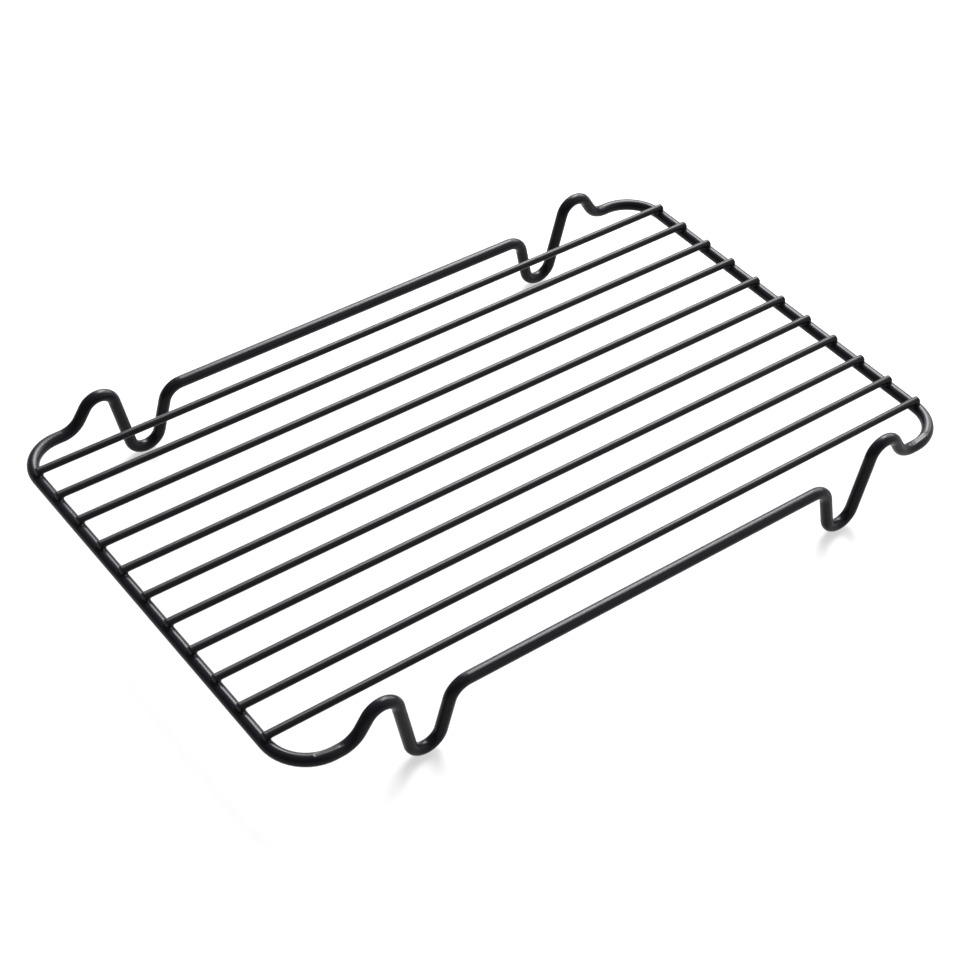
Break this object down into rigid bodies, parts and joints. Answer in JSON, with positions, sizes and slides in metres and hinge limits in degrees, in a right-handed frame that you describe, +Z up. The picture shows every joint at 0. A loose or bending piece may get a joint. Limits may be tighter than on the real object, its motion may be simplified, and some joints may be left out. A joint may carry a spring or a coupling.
{
  "type": "roasting rack",
  "caption": "Rectangular wire roasting rack: a closed frame wire bent into humps and feet along its long sides, with straight rods welded across its two ends.",
  "frame": {"origin": "on the surface under the feet, below the middle of the rack", "axes": "+X along the rods and the long sides, +Y across the rods, +Z up"},
  "size_m": [0.3, 0.189, 0.0376],
  "materials": {
    "frame_coating": "satin black non-stick coating on heavy steel wire",
    "rod_coating": "satin black non-stick coating on steel rod"
  },
  "bodies": {
    "root": {"frame_wire": "frame_coating", "grid_rod_01": "rod_coating", "grid_rod_02": "rod_coating", "grid_rod_03": "rod_coating", "grid_rod_04": "rod_coating", "grid_rod_05": "rod_coating", "grid_rod_06": "rod_coating", "grid_rod_07": "rod_coating", "grid_rod_08": "rod_coating", "grid_rod_09": "rod_coating", "grid_rod_10": "rod_coating", "grid_rod_11": "rod_coating"}
  },
  "joints": []
}
